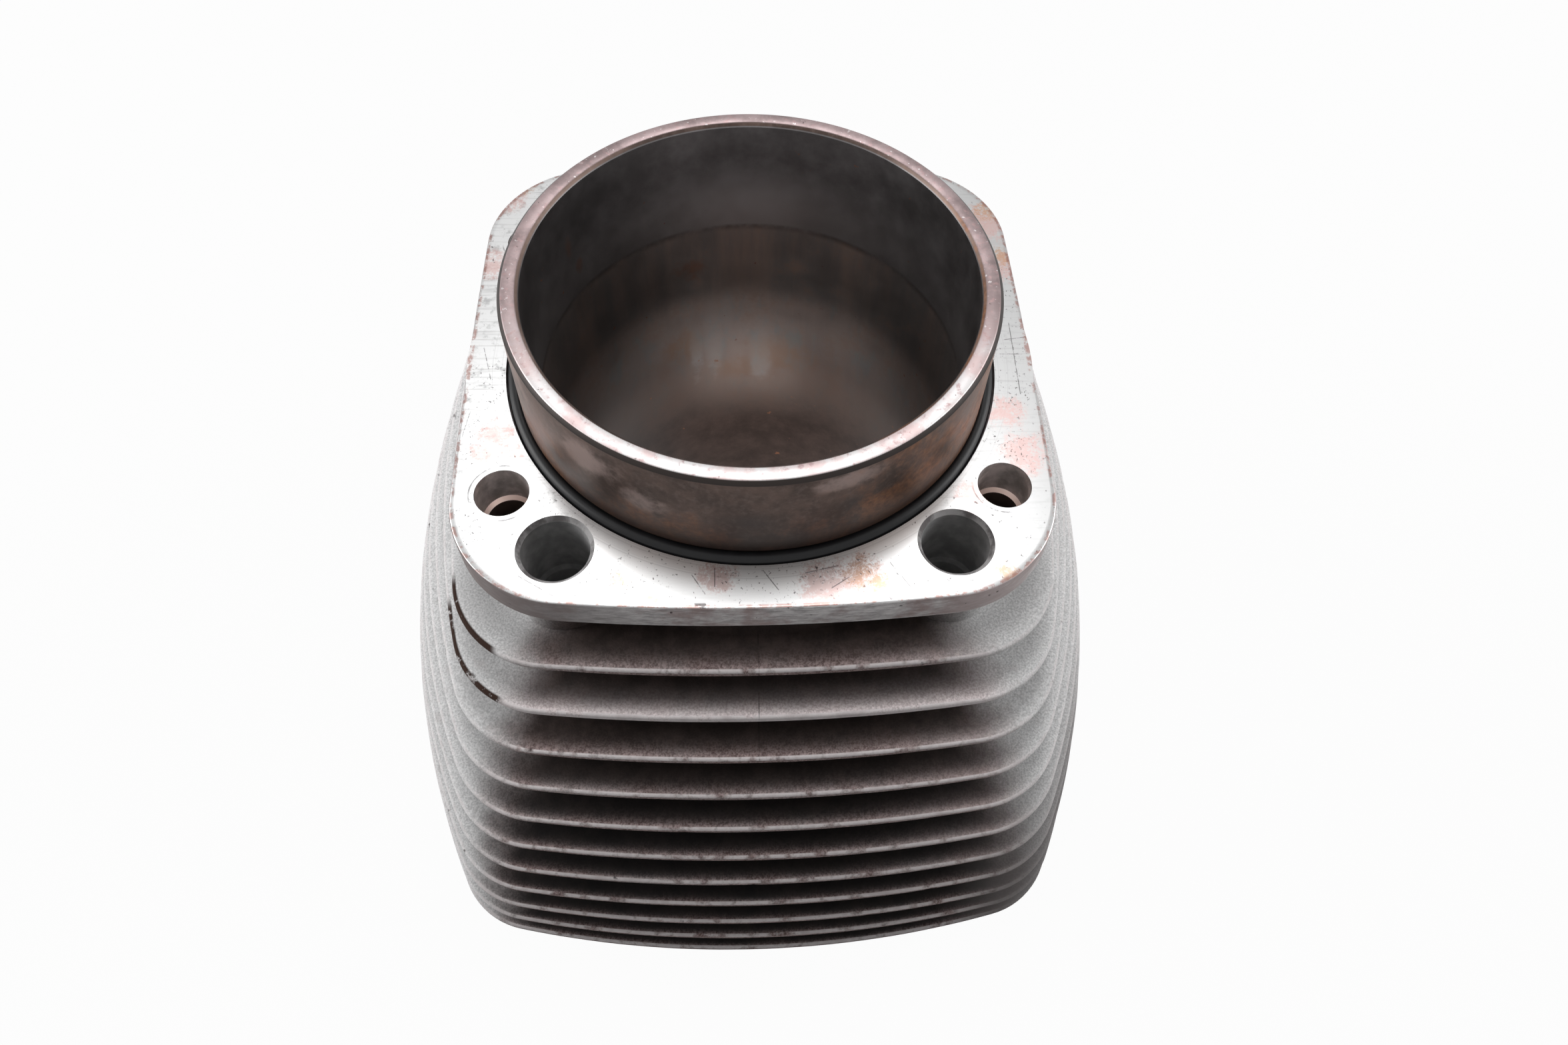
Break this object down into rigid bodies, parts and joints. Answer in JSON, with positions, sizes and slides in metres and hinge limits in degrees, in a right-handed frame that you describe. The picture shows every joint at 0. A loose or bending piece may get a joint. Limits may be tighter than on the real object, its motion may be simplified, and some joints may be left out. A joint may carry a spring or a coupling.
{
  "type": "engine cylinder",
  "caption": "Air-cooled engine cylinder: finned aluminium barrel widening to its head deck, with an iron liner whose spigot and sealing ring stand out of the base flange.",
  "frame": {"origin": "on the bore axis, in the plane of the head deck that the cylinder stands on", "axes": "+Z along the bore from the head deck to the spigot, +Y away from the side with the two oil passages"},
  "size_m": [0.1972, 0.2054, 0.1504],
  "materials": {
    "cast_aluminium": "as cast on the fins, with a machined base flange and head deck",
    "liner_iron": "turned and honed, lightly rusted",
    "ring_rubber": "smooth, slightly glossy"
  },
  "bodies": {
    "root": {"barrel": "cast_aluminium", "liner": "liner_iron", "sealing_ring": "ring_rubber"}
  },
  "joints": []
}
